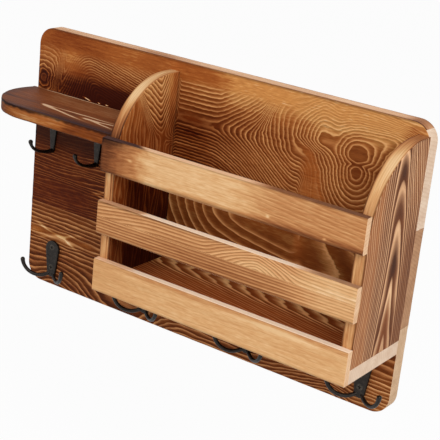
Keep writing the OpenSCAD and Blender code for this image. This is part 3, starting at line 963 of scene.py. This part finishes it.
def screw_cutters(node, axis, sign, wanted=lambda mid: True):
    """A countersunk hole for each wanted screw of a node, its head on the side that
    sign gives along the axis."""
    cutters = []
    for lo, hi in loose_boxes(node):
        mid = (lo + hi) / 2
        if not wanted(mid):
            continue
        head = (hi.x - lo.x) / 2
        wide = head + CLEARANCE
        shank = head * SHANK_SHARE + CLEARANCE
        top = mid.copy()
        top[axis] = hi[axis] if sign > 0 else lo[axis]
        way = Vector((0, 0, 0))
        way[axis] = -sign
        reach = hi[axis] - lo[axis] + SPARE_DEPTH
        profile = [(wide, -OVERSHOOT), (wide, 0.0), (shank, head * SINK_SHARE), (shank, reach)]
        cutters.append(revolve("cutter", profile, top, way))
    return cutters


def hanger_cutters():
    """The recess of each keyhole plate and the deeper room behind it. The room's radius
    stays below half its width, and the recess ends a hair off the plate."""
    cutters = []
    for node in ("hanger_plate_left", "hanger_plate_right"):
        lo, hi = node_box(node)
        gap = CLEARANCE
        r = KEYHOLE_RADIUS
        mid = (lo.x + hi.x) / 2
        plate = rounded_box(lo.x - gap, lo.z - gap, hi.x + gap, hi.z + gap, (HANGER_CORNER + gap,) * 4, 40)
        room = rounded_box(mid - r, KEYHOLE_Z - r, mid + r, KEYHOLE_Z + KEYHOLE_RISE + r, (r * 0.99,) * 4, 40)
        for outline, deepest in ((plate, lo.y - 0.001), (room, -HANGER_RECESS)):
            cutters.append(slab("cutter", outline, deepest, OVERSHOOT, along_y, LEAST_EASE, LEAST_EASE))
    return cutters


def back_boards(faces):
    seams = (PANEL_LO.z, LOWER_SEAM, UPPER_SEAM, PANEL_HI.z)
    for k, node in enumerate(("back_board_bottom", "back_board_middle", "back_board_top")):
        low, high = seams[k:k + 2]
        r_low = PANEL_CORNER if k == 0 else JOINT_CORNER
        r_high = PANEL_CORNER if k == 2 else JOINT_CORNER

        def ease(p):
            e = PANEL_EASE
            if k > 0:
                e = min(e, JOINT_EASE + 0.25 * (p.y - low))
            if k < 2:
                e = min(e, JOINT_EASE + 0.25 * (high - p.y))
            return e

        outline = rounded_box(PANEL_LO.x, low, PANEL_HI.x, high, (r_low, r_low, r_high, r_high))
        cutters = screw_cutters("back_screws", 1, 1, lambda mid: low < mid.z < high)
        if k == 2:
            cutters += hanger_cutters() + screw_cutters("hanger_screws", 1, 1)
        board(node, outline, along_y, PANEL_LO.y, PANEL_HI.y, ease, k, faces[node], cutters)


def side_panels(faces):
    for k, node in enumerate(("left_side_panel", "right_side_panel")):
        lo, hi = node_box(node)

        def ease(p):
            e = min(SIDE_EASE, JOINT_EASE + 0.2 * (p.y - lo.z), JOINT_EASE + 0.3 * (hi.y - p.x))
            return max(e, JOINT_EASE)

        outline = rounded_box(lo.y, lo.z, hi.y, hi.z, (JOINT_CORNER, JOINT_CORNER, JOINT_CORNER, SIDE_CURVE))
        board(node, outline, along_x, lo.x, hi.x, ease, 10 + k, faces[node])


def floor_board(faces):
    node = "bottom_board"
    lo, hi = node_box(node)
    outline = rounded_box(lo.y, lo.z, hi.y, hi.z, FLOOR_CORNERS)
    board(node, outline, along_x, lo.x, hi.x, FLOOR_EASE, 20, faces,
          screw_cutters("floor_screws", 2, -1))


def slats(faces):
    corners = (SLAT_FRONT_CORNER, SLAT_REAR_CORNER, SLAT_REAR_CORNER, SLAT_FRONT_CORNER)
    for k, node in enumerate(("bottom_slat", "middle_slat", "top_slat")):
        lo, hi = node_box(node)
        outline = rounded_box(lo.y, lo.z, hi.y, hi.z, corners)
        board(node, outline, along_x, lo.x, hi.x, SLAT_EASE, 30 + k, faces[node])


def shelf(faces):
    """The shelf: a round front corner, a straight front, and a left end that curves back."""
    node = "shelf_board"
    lo, hi = node_box(node)
    end = Vector((lo.x + SHELF_END, lo.y + SHELF_CORNER))
    stop = math.degrees(math.asin((hi.y - end.y) / SHELF_END))
    tail = arc(end, SHELF_END, 180 - stop, 180, 7)
    points = arc(Vector((lo.x + SHELF_CORNER, lo.y + SHELF_CORNER)), SHELF_CORNER, 180, 270, 40)
    run_to(points, Vector((hi.x, lo.y)), 3.5)
    run_to(points, Vector((hi.x, hi.y)), 10)
    run_to(points, tail[0], 5)
    points += tail[1:-1]

    def ease(p):
        e = min(SHELF_EASE, JOINT_EASE + 0.6 * (hi.y - p.y), JOINT_EASE + 0.4 * (hi.x - p.x))
        return max(e, JOINT_EASE)

    board(node, points, along_z, lo.z, hi.z, ease, 40, faces)


# ---------------------------------------------------------------- hooks

def tapered_plate(base, size):
    """A plate with round ends and a soft front arris, standing on the panel."""
    low = size["neck"]
    high = size["plate"] - size["head"]
    tilt = math.degrees(math.asin((size["head"] - size["neck"]) / (high - low)))
    points = arc(base + Vector((0, low)), size["neck"], 180 + tilt, 360 - tilt, 28)
    points += arc(base + Vector((0, high)), size["head"], -tilt, 180 + tilt, 28)
    front = PANEL_LO.y
    return slab("plate", points, front - size["thick"], front, along_y, size["bevel"], PLATE_EASE)


def swept_bar(path, radii, sides=20, caps=6):
    """A round bar along a path, closed by half balls."""
    ways = [(two - one).normalized() for one, two in zip(path[:1] + path[:-1], path[1:] + path[-1:])]
    turns = [math.pi / 2 * k / caps for k in range(1, caps)]

    def half_ball(end, sign, turns):
        centre, way, r = path[end], ways[end], radii[end]
        return [(centre + way * sign * r * math.sin(t), way, r * math.cos(t)) for t in turns]

    stops = half_ball(0, -1, turns[::-1]) + list(zip(path, ways, radii)) + half_ball(-1, 1, turns)
    angles = [2 * math.pi * k / sides for k in range(sides)]
    side = ways[0].cross(Vector((0, 0, 1))).normalized()
    rings = []
    for centre, way, r in stops:
        side = (side - way * side.dot(way)).normalized()
        up = way.cross(side)
        rings.append([centre + side * math.cos(t) * r + up * math.sin(t) * r for t in angles])
    return closed_skin("arm", rings)


def arm_radius(size, s):
    """The arm's radius at the share s of its length."""
    swell = size["swell"] * max(0.0, 1 - s / 0.4) ** 2
    tip = max(0.0, (s - size["tip_from"]) / (1 - size["tip_from"])) ** 2
    return size["arm"] + swell + (size["tip"] - size["arm"]) * tip


def fuse(name, parts, voxel, rounds):
    """Joins solids into one skin with softened inner corners."""
    bm = bmesh.new()
    for part in parts:
        bm.from_mesh(part.data)
        delete(part)
    obj = mesh_object(name, bm)
    skin = obj.modifiers.new("skin", "REMESH")
    skin.mode = "VOXEL"
    skin.voxel_size = voxel * MM
    soft = obj.modifiers.new("soft", "SMOOTH")
    soft.factor = 0.5
    soft.iterations = rounds
    bake_modifiers(obj)
    return obj


def forge(node, size, base, arms, metal):
    """Fuses a plate with its arms and drills it for its screws."""
    obj = fuse(node + "_iron", [tapered_plate(base, size)] + arms, size["voxel"], size["rounds"])
    obj.data.materials.append(metal)
    cut(obj, screw_cutters(size["screws"], 1, -1, lambda mid: abs(mid.x - base.x) < size["near"]))
    smooth(obj, 60)
    stand_for(obj, node)


def double_hook(node, metal):
    lo, hi = node_box(node)
    d = DOUBLE
    base = Vector(((lo.x + hi.x) / 2, PANEL_LO.z + d["top"] - d["plate"]))
    first = -math.degrees(math.asin(d["ahead"] / d["bend"]))
    count = 40
    arms = []
    for side in (-1, 1):
        a = math.radians(d["spread"]) * side
        out = Vector((math.sin(a), -math.cos(a), 0))
        start = Vector((base.x + side * d["apart"], PANEL_LO.y - d["thick"], base.y))
        path = []
        for k in range(count + 1):
            t = math.radians(first + (d["to"] - first) * k / count)
            ahead = d["ahead"] + d["bend"] * math.sin(t)
            path.append(start + out * ahead + Vector((0, 0, d["bend"] * (1 - math.cos(t)))))
        arms.append(swept_bar(path, [arm_radius(d, k / count) for k in range(count + 1)]))
    forge(node, d, base, arms, metal)


def small_hook(node, metal):
    lo, hi = node_box(node)
    d = SMALL
    front = PANEL_LO.y
    base = Vector(((lo.x + hi.x) / 2, d["foot"]))
    level = base.y + d["arm"]
    count = 44
    path = [Vector((base.x, front - d["sunk"] - (d["reach"] - d["sunk"]) * k / 3, level)) for k in range(3)]
    radii = [d["arm"] + d["swell"]] * 3
    for k in range(count + 1):
        t = math.radians(d["to"] * k / count)
        ahead = d["reach"] + d["run"] * math.sin(t)
        path.append(Vector((base.x, front - ahead, level + d["rise"] * (1 - math.cos(t)))))
        radii.append(arm_radius(d, k / count))
    forge(node, d, base, [swept_bar(path, radii)], metal)


# ---------------------------------------------------------------- scene

CAMERA_AT = Vector((588.8, -874.78, 357.39))
CAMERA_RIGHT = Vector((0.80971, 0.57849, 0.09861))
CAMERA_AHEAD = Vector((-0.52173, 0.78657, -0.33030))
CAMERA_LENS = 104.21
# In metres
FLOOR_LEVEL = -0.42
FLOOR_HALF = 12.0


def camera():
    data = bpy.data.cameras.new("camera")
    data.sensor_width = 36.0
    data.lens = CAMERA_LENS
    data.clip_start = 0.01
    data.clip_end = 50.0
    right = CAMERA_RIGHT.normalized()
    ahead = CAMERA_AHEAD.normalized()
    turn = Matrix((right, right.cross(ahead).normalized(), -ahead)).transposed()
    obj = link("camera", data)
    obj.matrix_world = Matrix.Translation(CAMERA_AT * MM) @ turn.to_4x4()
    bpy.context.scene.camera = obj


def lamp(name, place, size, power):
    """A soft round lamp that shines at the origin."""
    data = bpy.data.lights.new(name, "AREA")
    data.shape = "DISK"
    data.size = size
    data.energy = power
    obj = link(name, data)
    obj.location = place
    obj.rotation_mode = "QUATERNION"
    obj.rotation_quaternion = (-Vector(place)).to_track_quat("-Z", "Y")


def seen_directly():
    """1 for what the camera sees straight, in a mirror or through glass."""
    path = add_node("LightPath")
    return clip(Term(path.outputs["Is Camera Ray"]) + Term(path.outputs["Is Glossy Ray"])
                + Term(path.outputs["Is Transmission Ray"]))


def sky():
    world = bpy.data.worlds.new("studio")
    bpy.context.scene.world = world
    empty_tree(world)
    out = add_node("OutputWorld")
    light = add_node("Background")
    light.inputs["Color"].default_value = (1, 1, 1, 1)
    plug(0.55 + 0.45 * seen_directly(), light.inputs["Strength"])
    plug(light.outputs[0], out.inputs["Surface"])


def studio_floor():
    """A matt floor that takes shadows and looks nearly white to the camera."""
    material = bpy.data.materials.new("pale_floor")
    empty_tree(material)
    out = add_node("OutputMaterial")
    matt = add_node("BsdfDiffuse")
    matt.inputs["Color"].default_value = (0.9, 0.9, 0.9, 1)
    glow = add_node("Emission")
    glow.inputs["Color"].default_value = (1, 1, 1, 1)
    mix = add_node("MixShader")
    plug(0.94 * seen_directly(), mix.inputs[0])
    plug(matt.outputs[0], mix.inputs[1])
    plug(glow.outputs[0], mix.inputs[2])
    plug(mix.outputs[0], out.inputs["Surface"])
    mesh = bpy.data.meshes.new("studio_floor")
    corners = [(FLOOR_HALF * a, FLOOR_HALF * b, FLOOR_LEVEL) for a, b in ((-1, -1), (1, -1), (1, 1), (-1, 1))]
    mesh.from_pydata(corners, [], [(0, 1, 2, 3)])
    mesh.materials.append(material)
    link("studio_floor", mesh)


def dress_panel(torched, sanded, pale_end):
    """The back panel and the two side panels."""
    top = wood("top_board", with_plain_rear(top_board, 196.0, 31.0, 71), *torched, narrow=1.5)
    middle = wood("middle_board", with_plain_rear(middle_board, 88.0, -24.0, 72), *torched, narrow=2.6)
    bottom = wood("lower_board", with_plain_rear(bottom_board, 44.0, 38.0, 73), LOWER_SOFT, LOWER_HARD,
                  narrow=1.45)
    outer = wood("side_outer", side_outer, SIDE_SOFT, SIDE_HARD, upright=True, narrow=1.15)
    inner = wood("divider", divider_inner, *torched, upright=True, narrow=1.3)
    back_boards({
        "back_board_top": {"x": pale_end, "y": top, "z": wood("panel_top", panel_top, EDGE_SOFT, EDGE_HARD)},
        "back_board_middle": {"x": end_grain("brown_end", "#d0a078", "#8a5a38"), "y": middle, "z": middle},
        "back_board_bottom": {"x": end_grain("warm_end", "#eccaa6", "#b0855c"), "y": bottom, "z": bottom},
    })
    sides = {}
    for node, face, top_brown, foot_brown in (("left_side_panel", inner, 0.10, 0.60),
                                              ("right_side_panel", outer, 0.50, 0.08)):
        lo, hi = node_box(node)
        edge = curved_edge(lo.x - PANEL_LO.x, hi.x - PANEL_LO.x, top_brown, foot_brown)
        sawn = wood(node + "_edge", edge, *sanded)
        sides[node] = {"x": face, "y": sawn, "z": sawn}
    side_panels(sides)


def dress_box(sanded, pale_end):
    """The letter box's floor and slats, and the shelf."""
    peach_end = end_grain("peach_end", "#ffdab2", "#d09868")
    rims = {}
    for name, figure, char_and_shade_colour in (("top_slat", slat_edge(190, 0.0, 0.70, 292, 0.75), SLATE),
                               ("middle_slat", slat_edge(200, 0.50, 1.10, 335), CHAR_AND_SHADE),
                               ("bottom_slat", slat_edge(190, 0.72, 1.00), CHAR_AND_SHADE)):
        rims[name] = wood(name + "_rim", figure, EDGE_SOFT, EDGE_HARD, char_and_shade_colour=char_and_shade_colour)
    floor = wood("box_floor", floor_top, FLOOR_SOFT, FLOOR_HARD, narrow=1.15)
    floor_board({"x": pale_end, "y": rims["bottom_slat"], "z": floor})
    faces = {}
    for name, figure, narrow in (("bottom_slat", bottom_slat, 1.0), ("middle_slat", middle_slat, 0.65),
                                 ("top_slat", top_slat, 1.0)):
        faces[name] = {"x": peach_end, "y": wood(name, figure, *sanded, narrow=narrow), "z": rims[name]}
    slats(faces)
    shelf_face = wood("shelf_top", shelf_top, SHELF_SOFT, SHELF_HARD, char_and_shade_colour=SLATE)
    shelf_edge = wood("shelf_front", shelf_front, LOWER_SOFT, SHELF_HARD)
    shelf({"x": shelf_edge, "y": shelf_edge, "z": shelf_face})


def metal_pieces():
    metal = iron()
    for k in range(1, 5):
        double_hook(f"double_hook_{k}", metal)
    for k in (1, 2):
        small_hook(f"small_hook_{k}", metal)
    dark_screw = steel("dark_screw", "#201d1a", "#5a544d", 0.34)
    plated = steel("plated_steel", "#8d8f92", "#c4c6c8", 0.3)
    for node, material in (("double_hook_screws", dark_screw), ("small_hook_screws", dark_screw),
                           ("back_screws", plated), ("floor_screws", plated), ("hanger_screws", plated),
                           ("hanger_plate_left", plated), ("hanger_plate_right", plated)):
        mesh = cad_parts[node].data
        mesh.materials.clear()
        mesh.materials.append(material)


def main():
    bpy.context.scene.view_settings.view_transform = "Standard"
    camera()
    sky()
    studio_floor()
    lamp("key", (1.35, -1.25, 1.25), 1.1, 24)
    lamp("fill", (-1.2, -1.9, 0.4), 1.4, 5)
    sanded = (SANDED_SOFT, SANDED_HARD)
    pale_end = end_grain("pale_end", "#f8dfc6", "#cda584")
    dress_panel((TORCHED_SOFT, TORCHED_HARD), sanded, pale_end)
    dress_box(sanded, pale_end)
    metal_pieces()


main()
